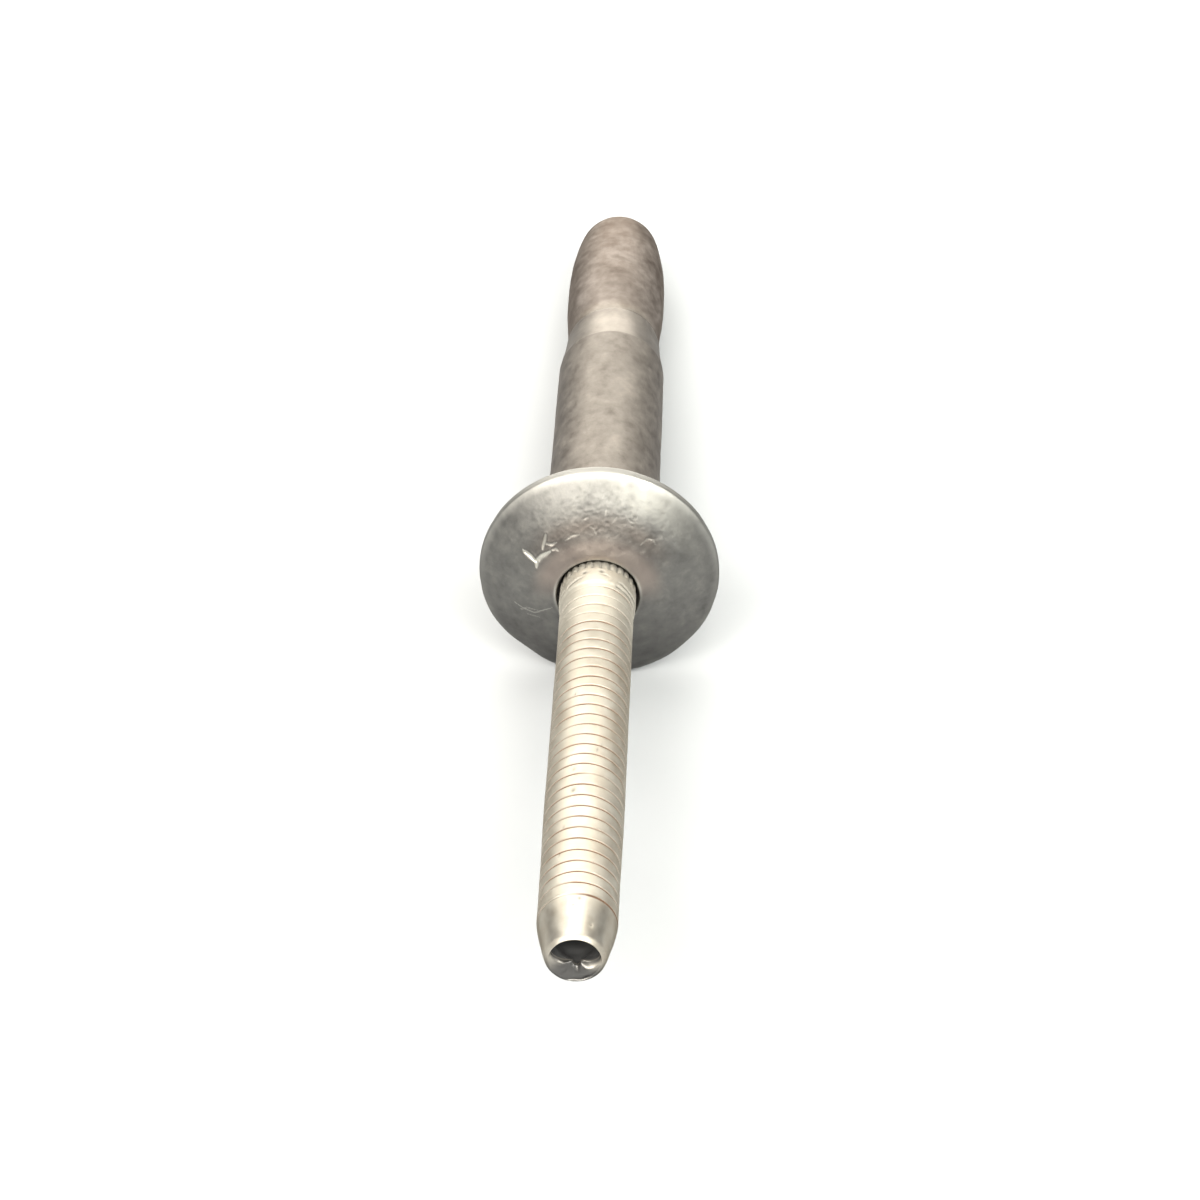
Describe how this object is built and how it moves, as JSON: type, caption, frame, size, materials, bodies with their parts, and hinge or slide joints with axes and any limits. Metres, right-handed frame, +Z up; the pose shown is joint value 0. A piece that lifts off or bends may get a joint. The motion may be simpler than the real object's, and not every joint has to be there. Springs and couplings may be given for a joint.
{
  "type": "pop rivet",
  "caption": "Structural pop rivet, unset: a domed flange on a straight sleeve, drawn up by a grooved pulling mandrel with a long blind head, to clamp sheets from one side.",
  "frame": {"origin": "on the floor, under the middle of the rivet as it lies on its flange's rim and its blind head", "axes": "+Z up; the rivet's own axis lies in the YZ plane, with the mandrel's tip towards -Y and raised 5.9 degrees, and +X across it"},
  "size_m": [0.0132, 0.0734, 0.0132],
  "materials": {
    "sleeve_steel": "dull zinc-plated steel, matt, with fine pits and handling dents",
    "mandrel_steel": "bright zinc-plated steel, satin, warm tint"
  },
  "bodies": {
    "root": {"rivet_body": "sleeve_steel", "mandrel": "mandrel_steel"}
  },
  "joints": []
}
